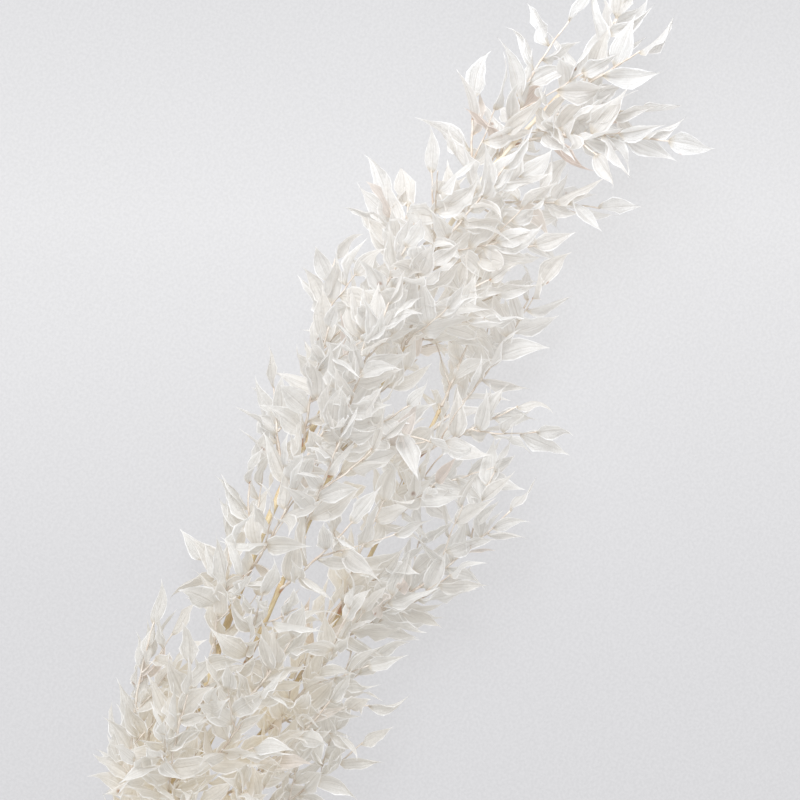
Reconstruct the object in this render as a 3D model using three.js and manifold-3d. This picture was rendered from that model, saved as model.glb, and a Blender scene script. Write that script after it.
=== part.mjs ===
// A dried stem of bleached ruscus, lying on a surface.
// One cut butt forks low down into three golden canes. White twigs grow from the canes,
// and each twig carries thin, folded, pointed leaves in two loose rows.
// Millimetres, +Z up, +X from the cut end towards the tip. The origin is in the middle
// of the flat underside of the butt, where the stem touches the surface.
import * as THREE from 'three';
import { mergeVertices } from 'three/addons/utils/BufferGeometryUtils.js';
import Module from 'manifold-3d';

const wasm = await Module();
wasm.setup();

// ---------------------------------------------------------------- driving dimensions
const GAP = 0.3;                 // seat left between a twig and its cane

const CANE_SIDES = 8;
const BUTT_RADIUS = 3.5;
const BUTT_LENGTH = 34;          // straight stretch that lies flat on the surface
const BUTT_SLANT = 3;            // how far the shears' slanting cut runs along the butt
const CANE_STEP = 60;            // about how far apart the rings of a cane lie

const TWIG_SIDES = 3;
const TWIG_RADIUS = 0.85;        // at the cane
const TWIG_TIP_RADIUS = 0.5;
const TWIG_SPREAD = 0.8;         // sideways against forward, as a twig leaves its cane
const TWIG_REACH = 0.42;         // share of the way to its end that it keeps that course

const LEAF_PITCH = 9.2;          // between one leaf and the next along a twig
const BARE_FOOT = 12;            // twig left bare next to the cane
const END_SUNK = 2;              // how far inside the twig's end its last leaf starts
const LEAF_LENGTH = [36, 28];    // at the foot and at the end of a twig
const LEAF_WIDTH = 0.4;          // of the length
const RIB = 0.55;                // half thickness of a blade at its midrib
const STATIONS = [0.3, 0.64];    // where a blade is measured between root and tip
const TRIES = 14;                // placings tried before a leaf is left out
const CLEAR = 0.35;              // kept between leaves of different twigs
const WELD = 0.002;              // corners closer than this become one
const SLIVER = 0.0003;           // a triangle lower than this is a sliver
const HAIR = 0.004;              // by this much a piece is thickened to make its join sound
const MOST_HAIRS = 24;           // the most hairs tried

const BUTT_HEIGHT = BUTT_RADIUS * Math.cos(Math.PI / CANE_SIDES);

// The canes: evenly spaced bends, and the radius at the first and the last of them.
const CANES = {
  a: {
    bends: [[BUTT_LENGTH / 2, 0, BUTT_HEIGHT], [100, 14, 17], [187, 26, 31], [275, 37, 43],
      [360, 44, 48], [447, 43, 50], [534, 29, 48], [622, 16, 47], [710, -10, 48]],
    radii: [3.4, 1.3],
  },
  b: {
    bends: [[55, 6, 9], [130, 13, 29], [205, 15, 46], [280, 16, 55], [355, 19, 59],
      [430, 20, 60], [503, 14, 55]],
    radii: [2.5, 1.2],
  },
  c: {
    bends: [[30, 2, 5], [105, 0, 12], [180, -5, 20], [255, -17, 26], [330, -25, 30],
      [405, -26, 32], [477, -25, 35]],
    radii: [2.5, 1.2],
  },
};

// The sprays: the cane that each grows from, how far along that cane its foot is,
// and where its twig ends.
const SPRAYS = [
  // the crown, round the end of the longest cane
  ['a', 1.0, [764, -16, 56]],
  ['a', 0.97, [738, -39, 74]],
  ['a', 0.90, [738, 10, 66]],
  ['a', 0.92, [697, -83, 58]],
  ['a', 0.93, [664, -44, 84]],
  ['a', 0.84, [640, -62, 40]],
  ['a', 0.86, [669, 45, 46]],
  ['a', 0.80, [612, 48, 62]],
  ['a', 0.74, [588, 68, 38]],
  ['a', 0.95, [712, -60, 28]],
  ['a', 0.88, [684, 14, 18]],
  ['a', 0.77, [598, -34, 62]],
  ['a', 0.78, [632, 6, 90]],
  // the left side and the back of the longest cane
  ['a', 0.62, [535, 80, 46]],
  ['a', 0.54, [442, 80, 38]],
  ['a', 0.47, [380, 66, 54]],
  ['a', 0.41, [318, 74, 26]],
  ['a', 0.16, [270, 82, 46]],
  ['a', 0.20, [186, 70, 14]],
  ['a', 0.29, [278, 40, 74]],
  ['a', 0.36, [338, 56, 80]],
  ['a', 0.66, [560, 40, 92]],
  ['a', 0.58, [492, 62, 88]],
  ['a', 0.12, [150, 44, 40]],
  ['a', 0.44, [400, 36, 82]],
  ['a', 0.53, [462, 34, 84]],
  ['a', 0.68, [556, 50, 14]],
  ['a', 0.70, [562, -28, 26]],
  ['a', 0.22, [236, 50, 62]],
  // the upper cane, whose sprays lie on top
  ['b', 1.0, [566, -18, 62]],
  ['b', 0.98, [566, 14, 74]],
  ['b', 0.78, [522, 34, 100]],
  ['b', 0.48, [324, 26, 92]],
  ['b', 0.68, [432, 24, 100]],
  ['b', 0.82, [470, -6, 90]],
  ['b', 0.60, [388, -6, 88]],
  ['b', 0.30, [262, 0, 80]],
  ['b', 0.18, [196, 22, 62]],
  ['b', 0.72, [446, 10, 16]],
  ['b', 0.90, [536, 2, 26]],
  ['b', 0.38, [306, -4, 86]],
  ['b', 0.10, [166, 4, 60]],
  ['b', 0.22, [244, 40, 90]],
  // the lower cane, on the right
  ['c', 0.62, [438, -96, 44]],
  ['c', 0.92, [500, -70, 52]],
  ['c', 1.0, [526, -22, 40]],
  ['c', 0.33, [276, -44, 54]],
  ['c', 0.22, [256, -76, 28]],
  ['c', 0.60, [374, -80, 22]],
  ['c', 0.55, [338, -22, 56]],
  ['c', 0.80, [434, -44, 62]],
  ['c', 0.88, [462, -8, 62]],
  ['c', 0.46, [314, -60, 36]],
  ['c', 0.84, [446, -66, 16]],
  ['c', 0.66, [408, -18, 62]],
  ['c', 0.44, [338, -38, 60]],
  ['c', 0.12, [150, -34, 12]],
  ['c', 0.96, [568, -46, 20]],
  ['c', 0.16, [206, -30, 44]],
];

// ---------------------------------------------------------------- small tools
const UP = new THREE.Vector3(0, 0, 1);

// A repeatable draw from 0 to 1 for one leaf of one spray.
function draw(spray, leaf, attempt, use) {
  const wave = Math.sin(spray * 12.9898 + leaf * 78.233 + attempt * 37.719 + use * 9.151) * 43758.5453;
  return wave - Math.floor(wave);
}

const between = (low, high, share) => low + (high - low) * share;
const radians = THREE.MathUtils.degToRad;

// The sideways and upward directions square to a course.
function across(course) {
  const side = new THREE.Vector3().crossVectors(UP, course).normalize();
  const rise = new THREE.Vector3().crossVectors(course, side).normalize();
  return { side, rise };
}

function solidFrom(points, triangles) {
  const vertProperties = new Float32Array(points.flatMap((p) => [p.x, p.y, p.z]));
  const triVerts = new Uint32Array(triangles.flat());
  return new wasm.Manifold(new wasm.Mesh({ numProp: 3, vertProperties, triVerts }));
}

// A closed tapering rod: rings of corners round each centre, joined and capped.
// The first corner pair lies flat underneath, so a level rod has a flat underside.
function rod(centres, courses, radii, sides) {
  const points = [];
  const triangles = [];
  centres.forEach((centre, ring) => {
    const { side, rise } = across(courses[ring]);
    for (let corner = 0; corner < sides; corner += 1) {
      const turn = ((corner + 0.5) / sides) * 2 * Math.PI - Math.PI / 2;
      points.push(centre.clone()
        .addScaledVector(side, -radii[ring] * Math.cos(turn))
        .addScaledVector(rise, radii[ring] * Math.sin(turn)));
    }
  });
  for (let ring = 1; ring < centres.length; ring += 1) {
    for (let corner = 0; corner < sides; corner += 1) {
      const here = (ring - 1) * sides + corner;
      const next = (ring - 1) * sides + ((corner + 1) % sides);
      triangles.push([here, next + sides, next], [here, here + sides, next + sides]);
    }
  }
  const last = (centres.length - 1) * sides;
  for (let corner = 1; corner < sides - 1; corner += 1) {
    triangles.push([0, corner, corner + 1], [last, last + corner + 1, last + corner]);
  }
  return { points, triangles };
}

function geometryOf(solid) {
  const { vertProperties, triVerts } = solid.getMesh();
  const geometry = new THREE.BufferGeometry();
  geometry.setAttribute('position', new THREE.BufferAttribute(Float32Array.from(vertProperties), 3));
  geometry.setIndex([...triVerts]);
  return mergeVertices(geometry, WELD);
}

// How sound a joined shape came out: the height of its lowest triangle, or nothing where
// an edge hasn't just one triangle on either side of it.
function soundness(geometry) {
  const place = geometry.getAttribute('position');
  const corners = geometry.index.array;
  const edges = new Set();
  let lowest = Infinity;
  for (let first = 0; first < corners.length; first += 3) {
    const spot = [0, 1, 2].map((step) => new THREE.Vector3()
      .fromBufferAttribute(place, corners[first + step]));
    const longest = Math.max(...spot.map((point, step) => point.distanceTo(spot[(step + 1) % 3])));
    lowest = Math.min(lowest, 2 * new THREE.Triangle(...spot).getArea() / longest);
    for (let step = 0; step < 3; step += 1) {
      const edge = `${corners[first + step]}>${corners[first + (step + 1) % 3]}`;
      if (edges.has(edge)) return 0;
      edges.add(edge);
    }
  }
  return [...edges].every((edge) => edges.has(edge.split('>').reverse().join('>'))) ? lowest : 0;
}

// A named mesh of what the joiner makes. Where two edges all but touch, the join has a
// sliver or a torn edge, and is made again with its members some hairs thicker. The
// first join with no sliver is kept, or else the soundest.
function meshOf(join, name, material) {
  let geometry = null;
  let best = -1;
  for (let hairs = 0; hairs < MOST_HAIRS && best < SLIVER; hairs += 1) {
    const candidate = geometryOf(join(hairs * HAIR));
    const sound = soundness(candidate);
    if (sound > best) {
      geometry = candidate;
      best = sound;
    }
  }
  geometry.computeVertexNormals();
  const mesh = new THREE.Mesh(geometry, material);
  mesh.name = name;
  return mesh;
}

// ---------------------------------------------------------------- canes
function caneCurve(cane) {
  const bends = cane.bends.map((bend) => new THREE.Vector3(...bend));
  return new THREE.CatmullRomCurve3(bends, false, 'catmullrom', 0.5);
}

// One cane as a solid, thicker all round and longer at its end by the extra.
function caneSolid(cane, curve, extra) {
  const steps = Math.ceil(curve.getLength() / CANE_STEP);
  const centres = [];
  const courses = [];
  const radii = [];
  for (let step = 0; step <= steps; step += 1) {
    const share = step / steps;
    centres.push(curve.getPoint(share));
    courses.push(curve.getTangent(share));
    radii.push(between(...cane.radii, share) + extra);
  }
  centres[steps].addScaledVector(courses[steps], extra);
  const { points, triangles } = rod(centres, courses, radii, CANE_SIDES);
  return solidFrom(points, triangles);
}

// The butt: a straight prism with a slanting cut, lying on one of its flats.
function buttSolid(extra) {
  const along = new THREE.Vector3(1, 0, 0);
  const ends = [-BUTT_LENGTH / 2 - extra, BUTT_LENGTH / 2];
  const centres = ends.map((x) => new THREE.Vector3(x, 0, BUTT_HEIGHT));
  const radii = [BUTT_RADIUS + extra, BUTT_RADIUS + extra];
  const { points, triangles } = rod(centres, [along, along], radii, CANE_SIDES);
  for (const point of points.slice(0, CANE_SIDES)) {
    point.x += BUTT_SLANT * (point.z - BUTT_HEIGHT) / BUTT_HEIGHT;
  }
  return solidFrom(points, triangles);
}

const curves = {};
for (const [key, cane] of Object.entries(CANES)) {
  curves[key] = caneCurve(cane);
}

function forkedCane(extra) {
  let whole = buttSolid(extra);
  for (const [key, cane] of Object.entries(CANES)) {
    whole = whole.add(caneSolid(cane, curves[key], extra));
  }
  return whole;
}

const caneGuard = forkedCane(GAP);

// ---------------------------------------------------------------- twigs
// A twig leaves its cane at a slant, keeps that course for a while and then bends
// towards its end: a curve pulled by one point.
function twigCurve([key, at, end]) {
  const foot = curves[key].getPoint(at);
  const course = curves[key].getTangent(at);
  const finish = new THREE.Vector3(...end);
  const outward = finish.clone().sub(foot);
  outward.addScaledVector(course, -outward.dot(course)).normalize();
  const spread = at < 1 ? TWIG_SPREAD : 0;
  const first = course.clone().addScaledVector(outward, spread).normalize();
  const pull = foot.clone().addScaledVector(first, foot.distanceTo(finish) * TWIG_REACH);
  return new THREE.QuadraticBezierCurve3(foot, pull, finish);
}

function twigSolid(twig, extra) {
  const steps = Math.ceil(twig.count / 2) + 1;
  const centres = [];
  const courses = [];
  const radii = [];
  for (let step = 0; step <= steps; step += 1) {
    const share = step / steps;
    centres.push(twig.curve.getPoint(share));
    courses.push(twig.curve.getTangent(share));
    radii.push(between(TWIG_RADIUS, TWIG_TIP_RADIUS, share) + extra);
  }
  const { points, triangles } = rod(centres, courses, radii, TWIG_SIDES);
  return { solid: solidFrom(points, triangles), box: new THREE.Box3().setFromPoints(points) };
}

const twigs = SPRAYS.map((spray, index) => {
  const curve = twigCurve(spray);
  const length = curve.v0.distanceTo(curve.v1) + curve.v1.distanceTo(curve.v2);
  const twig = { index, curve, length, leaves: [] };
  twig.count = Math.round((length - BARE_FOOT) / LEAF_PITCH);
  Object.assign(twig, twigSolid(twig, 0));
  return twig;
});

// ---------------------------------------------------------------- leaves
// Half the width of a blade at a share of its length: nothing at the root, widest a
// little over a third of the way up, then drawn out to a point.
function halfWidth(share) {
  const shape = (s) => s ** 0.8 * (1 - s) ** 1.35;
  return shape(share) / shape(0.8 / 2.15);
}

// How one leaf sits on its twig, from its draws.
function leafPlan(twig, number, attempt) {
  const roll = (use) => draw(twig.index, number, attempt, use);
  const last = number === twig.count - 1;
  const share = last ? 1 - END_SUNK / twig.length : (BARE_FOOT + number * LEAF_PITCH) / twig.length;
  const course = twig.curve.getTangent(share);
  const { side, rise } = across(course);
  const hand = number % 2 ? -1 : 1;
  const lean = radians(last ? 8 : between(58, 32, share) + between(-14, 14, roll(1)));
  const tilt = radians(between(-75, 75, roll(2)) + between(-40, 40, draw(twig.index, 0, 0, 9)));
  const out = side.clone().multiplyScalar(hand * Math.cos(tilt)).addScaledVector(rise, Math.sin(tilt));
  const face = side.clone().multiplyScalar(-hand * Math.sin(tilt)).addScaledVector(rise, Math.cos(tilt));
  const forward = course.clone().multiplyScalar(Math.cos(lean)).addScaledVector(out, Math.sin(lean));
  const cross = new THREE.Vector3().crossVectors(forward, face);
  const turn = radians(between(-60, 60, roll(3)));
  const normal = face.multiplyScalar(Math.cos(turn)).addScaledVector(cross, Math.sin(turn));
  return {
    root: twig.curve.getPoint(share),
    forward,
    normal,
    length: between(...LEAF_LENGTH, share * share) * between(0.86, 1.12, roll(4)),
    bend: radians(between(-45, 60, roll(5)) + 0.5),
    twist: radians(between(-70, 70, roll(6))),
    fold: radians(between(8, 34, roll(7))),
  };
}

// One blade: it starts from a point inside its twig, has four corners at each station
// (margin, rib, margin, rib underneath) and ends in a point.
// A station or tip that would reach below the surface is lifted to lie on it.
function blade(plan, extra) {
  const width = new THREE.Vector3().crossVectors(plan.forward, plan.normal);
  const station = (share) => {
    const angle = plan.bend * share;
    const ahead = plan.length * Math.sin(angle) / plan.bend;
    const above = plan.length * (1 - Math.cos(angle)) / plan.bend;
    const centre = plan.root.clone()
      .addScaledVector(plan.forward, ahead).addScaledVector(plan.normal, above);
    const bent = plan.normal.clone().multiplyScalar(Math.cos(angle))
      .addScaledVector(plan.forward, -Math.sin(angle));
    const spin = plan.twist * share;
    const wide = width.clone().multiplyScalar(Math.cos(spin)).addScaledVector(bent, Math.sin(spin));
    const face = bent.multiplyScalar(Math.cos(spin)).addScaledVector(width, -Math.sin(spin));
    return { centre, wide, face };
  };
  const points = [plan.root];
  for (const share of STATIONS) {
    const { centre, wide, face } = station(share);
    const half = plan.length * LEAF_WIDTH / 2 * halfWidth(share) + extra;
    const lip = centre.clone().addScaledVector(face, half * Math.sin(plan.fold));
    const corners = [
      lip.clone().addScaledVector(wide, -half * Math.cos(plan.fold)),
      centre.clone().addScaledVector(face, RIB + extra),
      lip.clone().addScaledVector(wide, half * Math.cos(plan.fold)),
      centre.clone().addScaledVector(face, -RIB - extra),
    ];
    const sunk = Math.min(0, ...corners.map((corner) => corner.z));
    corners.forEach((corner) => { corner.z -= sunk; });
    points.push(...corners);
  }
  const tip = station(1).centre;
  tip.z = Math.max(0, tip.z);
  points.push(tip);
  const end = points.length - 1;
  const triangles = [];
  for (let corner = 0; corner < 4; corner += 1) {
    triangles.push([0, 1 + (corner + 1) % 4, 1 + corner]);
  }
  for (let first = 1; first + 4 < end; first += 4) {
    for (let corner = 0; corner < 4; corner += 1) {
      const here = first + corner;
      const next = first + (corner + 1) % 4;
      const kept = corner % 2 === 0;
      if (kept) triangles.push([here, next, next + 4], [here, next + 4, here + 4]);
      else triangles.push([here, next, here + 4], [next, next + 4, here + 4]);
    }
  }
  for (let corner = 0; corner < 4; corner += 1) {
    triangles.push([end - 4 + corner, end - 4 + (corner + 1) % 4, end]);
  }
  return { points, triangles };
}

const meets = (one, other) => {
  const shared = one.intersect(other);
  const found = !shared.isEmpty();
  shared.delete();
  return found;
};

// Whether a leaf stays clear of the canes and of every other twig and its leaves.
function isClear(solid, box, owner) {
  if (meets(caneGuard, solid)) return false;
  for (const twig of twigs) {
    if (twig !== owner && box.intersectsBox(twig.box) && meets(twig.solid, solid)) return false;
    for (const leaf of twig.leaves) {
      if (box.intersectsBox(leaf.box) && meets(leaf.solid, solid)) return false;
    }
  }
  return true;
}

// A leaf takes the first of its placings that is clear, or is left out.
function growLeaf(twig, number) {
  for (let attempt = 0; attempt < TRIES; attempt += 1) {
    const plan = leafPlan(twig, number, attempt);
    const guard = blade(plan, CLEAR);
    const box = new THREE.Box3().setFromPoints(guard.points);
    const guardSolid = solidFrom(guard.points, guard.triangles);
    const clear = isClear(guardSolid, box, twig);
    guardSolid.delete();
    if (clear) {
      const { points, triangles } = blade(plan, 0);
      twig.leaves.push({ plan, solid: solidFrom(points, triangles), box });
      return;
    }
  }
}

const mostLeaves = Math.max(...twigs.map((twig) => twig.count));
for (let number = 0; number < mostLeaves; number += 1) {
  for (const twig of twigs) {
    if (number < twig.count) growLeaf(twig, number);
  }
}

// ---------------------------------------------------------------- the stem
const caneWood = new THREE.MeshStandardMaterial({ color: '#d3b377', roughness: 0.62, metalness: 0 });
const bleachedLeaf = new THREE.MeshStandardMaterial({
  color: '#efeae1', roughness: 0.7, metalness: 0, side: THREE.DoubleSide,
});

const stem = new THREE.Group();
stem.add(meshOf(forkedCane, 'cane', caneWood));
twigs.forEach((twig) => {
  const join = (extra) => twig.leaves.reduce((whole, leaf) => {
    const { points, triangles } = blade(leaf.plan, extra);
    return whole.add(solidFrom(points, triangles));
  }, twigSolid(twig, extra).solid).subtract(caneGuard);
  const name = `spray_${String(twig.index + 1).padStart(2, '0')}`;
  stem.add(meshOf(join, name, bleachedLeaf));
});

export default stem;
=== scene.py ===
"""A stem of bleached, dried ruscus that lies on a pale floor and is seen from above: one
cut butt, three golden canes and the white leafy sprays that grow from them."""
import math
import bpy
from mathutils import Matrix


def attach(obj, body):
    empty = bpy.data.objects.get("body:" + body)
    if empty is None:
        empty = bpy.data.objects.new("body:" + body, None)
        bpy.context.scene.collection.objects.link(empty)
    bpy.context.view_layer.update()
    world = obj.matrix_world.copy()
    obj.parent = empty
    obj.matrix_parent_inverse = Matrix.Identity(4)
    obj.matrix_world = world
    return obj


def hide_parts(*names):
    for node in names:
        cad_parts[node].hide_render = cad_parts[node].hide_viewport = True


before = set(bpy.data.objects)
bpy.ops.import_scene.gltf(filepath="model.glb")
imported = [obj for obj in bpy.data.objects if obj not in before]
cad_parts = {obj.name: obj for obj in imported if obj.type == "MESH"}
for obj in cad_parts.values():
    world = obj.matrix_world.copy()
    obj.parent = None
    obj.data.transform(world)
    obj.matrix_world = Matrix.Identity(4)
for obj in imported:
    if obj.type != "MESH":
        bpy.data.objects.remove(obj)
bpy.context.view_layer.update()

from types import SimpleNamespace

import bmesh
import bpy
import numpy as np
from mathutils import Vector

# -------------------- the forked golden cane
# The woody part of the stem, one grown piece: a butt that forks low down into three canes.
# Its golden bark dried in fine lengthwise flutes, swells a little where a twig leaves it,
# and keeps a dry brown bract there. Sizes are in millimetres.
MM = 0.001
BUTT_RADIUS = 3.5
BUTT_SIDES = 8                # of the plain solid, which lies on one of its flats
BUTT_LENGTH = 34
BUTT_SLANT = 3                # how far the shears' slanting cut runs along the butt
BUTT_HEIGHT = BUTT_RADIUS * math.cos(math.pi / BUTT_SIDES)
CANES = {
    "a": SimpleNamespace(
        bends=[(BUTT_LENGTH / 2, 0, BUTT_HEIGHT), (100, 14, 17), (187, 26, 31), (275, 37, 43),
               (360, 44, 48), (447, 43, 50), (534, 29, 48), (622, 16, 47), (710, -10, 48)],
        radii=(3.4, 1.3), scars=(0.035, 0.075)),
    "b": SimpleNamespace(
        bends=[(55, 6, 9), (130, 13, 29), (205, 15, 46), (280, 16, 55), (355, 19, 59),
               (430, 20, 60), (503, 14, 55)],
        radii=(2.5, 1.2), scars=(0.07,)),
    "c": SimpleNamespace(
        bends=[(30, 2, 5), (105, 0, 12), (180, -5, 20), (255, -17, 26), (330, -25, 30),
               (405, -26, 32), (477, -25, 35)],
        radii=(2.5, 1.2), scars=(0.04, 0.09)),
}
# The sprays: the cane that each grows from, how far along that cane its foot is, and
# where its twig ends.
SPRAYS = [
    # the crown, round the end of the longest cane
    ("a", 1.0, (764, -16, 56)), ("a", 0.97, (738, -39, 74)), ("a", 0.90, (738, 10, 66)),
    ("a", 0.92, (697, -83, 58)), ("a", 0.93, (664, -44, 84)), ("a", 0.84, (640, -62, 40)),
    ("a", 0.86, (669, 45, 46)), ("a", 0.80, (612, 48, 62)), ("a", 0.74, (588, 68, 38)),
    ("a", 0.95, (712, -60, 28)), ("a", 0.88, (684, 14, 18)), ("a", 0.77, (598, -34, 62)),
    ("a", 0.78, (632, 6, 90)),
    # the left side and the back of the longest cane
    ("a", 0.62, (535, 80, 46)), ("a", 0.54, (442, 80, 38)), ("a", 0.47, (380, 66, 54)),
    ("a", 0.41, (318, 74, 26)), ("a", 0.16, (270, 82, 46)), ("a", 0.20, (186, 70, 14)),
    ("a", 0.29, (278, 40, 74)), ("a", 0.36, (338, 56, 80)), ("a", 0.66, (560, 40, 92)),
    ("a", 0.58, (492, 62, 88)), ("a", 0.12, (150, 44, 40)), ("a", 0.44, (400, 36, 82)),
    ("a", 0.53, (462, 34, 84)), ("a", 0.68, (556, 50, 14)), ("a", 0.70, (562, -28, 26)),
    ("a", 0.22, (236, 50, 62)),
    # the upper cane, whose sprays lie on top
    ("b", 1.0, (566, -18, 62)), ("b", 0.98, (566, 14, 74)), ("b", 0.78, (522, 34, 100)),
    ("b", 0.48, (324, 26, 92)), ("b", 0.68, (432, 24, 100)), ("b", 0.82, (470, -6, 90)),
    ("b", 0.60, (388, -6, 88)), ("b", 0.30, (262, 0, 80)), ("b", 0.18, (196, 22, 62)),
    ("b", 0.72, (446, 10, 16)), ("b", 0.90, (536, 2, 26)), ("b", 0.38, (306, -4, 86)),
    ("b", 0.10, (166, 4, 60)), ("b", 0.22, (244, 40, 90)),
    # the lower cane, on the right
    ("c", 0.62, (438, -96, 44)), ("c", 0.92, (500, -70, 52)), ("c", 1.0, (526, -22, 40)),
    ("c", 0.33, (276, -44, 54)), ("c", 0.22, (256, -76, 28)), ("c", 0.60, (374, -80, 22)),
    ("c", 0.55, (338, -22, 56)), ("c", 0.80, (434, -44, 62)), ("c", 0.88, (462, -8, 62)),
    ("c", 0.46, (314, -60, 36)), ("c", 0.84, (446, -66, 16)), ("c", 0.66, (408, -18, 62)),
    ("c", 0.44, (338, -38, 60)), ("c", 0.12, (150, -34, 12)), ("c", 0.96, (568, -46, 20)),
    ("c", 0.16, (206, -30, 44)),
]
CANE_SIDES = 18
CANE_ROW = 2.5                # between one ring of corners and the next
CANE_POINTS = 99              # between which a cane's length is measured
FORK_EASE = 12                # how far either side of a place the course is averaged
FORK_GROWTH = 14              # over which a thin cane grows out of the butt
ROUND = 0.97                  # of the plain solid's radius to its corners
SWELLING = 0.45               # of the bark round the foot of a twig
SWELLING_REACH = 3.2
SWELLING_MOST = 1.2           # times SWELLING, where twigs are close together
FLUTES = (7, 3)               # fine ones and broad ones round a cane
FLUTE_DRIFT = (60, 23)        # along the cane, for each radian that they drift round it
FLUTE_DEPTH = 0.045           # of the radius, and half as much for the broad ones
CUT_RINGS = (1, 0.94, 0.8, 0.6, 0.4, 0.2, 0)
CUT_TEARS = 2.4               # radians of the tears' sine from one corner to the next
CUT_TORN = 0.08               # how far torn fibres stand out
CUT_SUNK = 0.25               # at the pith
WELD = 1e-7                   # metres between corners that are the same one
MARKS = 60                    # an index over this is the mark that tells skins apart
GRAIN_APART = 61              # in the noise, between the grains of marks 0 and 1


def unit(vectors):
    """Each vector divided by its length."""
    return vectors / np.linalg.norm(vectors, axis=-1, keepdims=True)


def between(low, high, share):
    """The value that lies at a share of the way from low to high."""
    return low + (high - low) * share


def through_bends(bends):
    """A Catmull-Rom curve: between two bends it is the cubic that leaves and arrives along
    half the vector between the bends on either side. Past an end, the bend is mirrored."""
    bends = np.asarray(bends, float)
    padded = np.vstack([2 * bends[0] - bends[1], bends, 2 * bends[-1] - bends[-2]])

    def curve(share):
        place = np.clip(share, 0, 1) * (len(bends) - 1)
        first = np.minimum(np.floor(place).astype(int), len(bends) - 2)
        t = (place - first)[..., None]
        before, start, end, after = (padded[first + step] for step in range(4))
        leave, arrive = (end - before) / 2, (after - start) / 2
        return (start + leave * t + (3 * (end - start) - 2 * leave - arrive) * t**2
                + (2 * (start - end) + leave + arrive) * t**3)
    return curve


def course_of(curve, share):
    """The direction of a curve: the way from just behind a share of it to just ahead."""
    step = 1e-4
    share = np.asarray(share, float)
    return unit(curve(np.clip(share + step, 0, 1)) - curve(np.clip(share - step, 0, 1)))


def run_of(points):
    """How far along a course each of its points is: the sum of the steps up to it."""
    return np.concatenate([[0], np.cumsum(np.linalg.norm(np.diff(points, axis=0), axis=1))])


def eased(points, reach):
    """A course with its kinks rounded: each point becomes the mean of those up to reach
    before and after it, fewer near the ends."""
    here = np.arange(len(points))
    total = np.vstack([np.zeros((1, 3)), np.cumsum(points, axis=0)])
    spread = np.minimum(reach, np.minimum(here, here[::-1]))
    return (total[here + spread + 1] - total[here - spread]) / (2 * spread + 1)[:, None]


def across(course):
    """The sideways and upward directions square to each course."""
    side = unit(np.cross((0.0, 0.0, 1.0), course))
    return side, np.cross(course, side)


def circles(side, rise, turn):
    """Circles of radius 1 in the planes of side and rise, with a corner at each turn."""
    return side[:, None] * np.cos(turn)[:, None] + rise[:, None] * np.sin(turn)[:, None]


def skins(points, along, marks=(0, 0), finish=0, around=None, crisp=()):
    """Closed skins over grids of corners. points is (skins, rows, corners, 3), and a row's
    last corner joins its first. A row whose corners all meet is a pole. along has each
    row's second texture coordinate, and around the first one, in equal steps unless given.
    marks are two numbers kept for each skin, and crisp are the corners whose lengthwise
    edges are sharp creases."""
    many, rows, corners = points.shape[:3]
    place = np.arange(many * rows * corners).reshape(many, rows, corners)
    beside = np.roll(place, -1, axis=2)
    quads = np.stack([place[:, :-1], beside[:, :-1], beside[:, 1:], place[:, 1:]], axis=-1)
    around = np.arange(corners + 1) / corners if around is None else around
    along = np.asarray(along, float)
    texture = np.empty(quads.shape + (2,))
    texture[..., 0] = np.stack([around[:-1], around[1:], around[1:], around[:-1]], axis=-1)
    texture[..., 1] = np.stack([along[:-1], along[:-1], along[1:], along[1:]], axis=-1)[:, None]
    kept = np.empty_like(texture)
    kept[:] = np.broadcast_to(np.asarray(marks, float), (many, 2))[:, None, None, None]
    creased = np.zeros(place.shape, bool)
    creased[..., list(crisp)] = True
    return SimpleNamespace(points=points.reshape(-1, 3), quads=quads.reshape(-1, 4),
                           texture=texture.reshape(-1, 2), marks=kept.reshape(-1, 2),
                           creased=creased.ravel(), finish=finish)


def shown(name, data):
    """An object of the scene that holds a mesh, a light or a camera."""
    held = bpy.data.objects.new(name, data)
    bpy.context.scene.collection.objects.link(held)
    return held


def make_piece(name, parts, finishes):
    """One mesh object of several skins: their corners in metres, their quads, both sets of
    texture coordinates, and poles closed by merging the corners that meet there. An edge
    between two creased corners is sharp."""
    starts = np.cumsum([0] + [len(part.points) for part in parts])
    corners = np.vstack([part.points for part in parts]) * MM
    quads = np.vstack([part.quads + start for part, start in zip(parts, starts)])
    finish = np.concatenate([np.full(len(part.quads), part.finish) for part in parts])
    mesh = bpy.data.meshes.new(name)
    mesh.from_pydata(corners.tolist(), [], quads.tolist())
    for layer, key in (("grain", "texture"), ("growth", "marks")):
        values = np.vstack([getattr(part, key) for part in parts])
        mesh.uv_layers.new(name=layer).data.foreach_set("uv", values.ravel())
    creased = mesh.attributes.new("creased", "BOOLEAN", "POINT")
    creased.data.foreach_set("value", np.concatenate([part.creased for part in parts]))
    for material in finishes:
        mesh.materials.append(material)
    mesh.polygons.foreach_set("material_index", finish.astype(np.int32))
    mesh.polygons.foreach_set("use_smooth", np.ones(len(quads), bool))
    shaped = bmesh.new()
    shaped.from_mesh(mesh)
    bmesh.ops.remove_doubles(shaped, verts=shaped.verts, dist=WELD)
    bmesh.ops.recalc_face_normals(shaped, faces=shaped.faces)
    shaped.to_mesh(mesh)
    shaped.free()
    flags = np.empty(len(mesh.vertices), bool)
    mesh.attributes["creased"].data.foreach_get("value", flags)
    ends = np.empty(len(mesh.edges) * 2, np.int32)
    mesh.edges.foreach_get("vertices", ends)
    mesh.edges.foreach_set("use_edge_sharp", flags[ends.reshape(-1, 2)].all(axis=1))
    mesh.attributes.remove(mesh.attributes["creased"])
    return shown(name, mesh)


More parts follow.
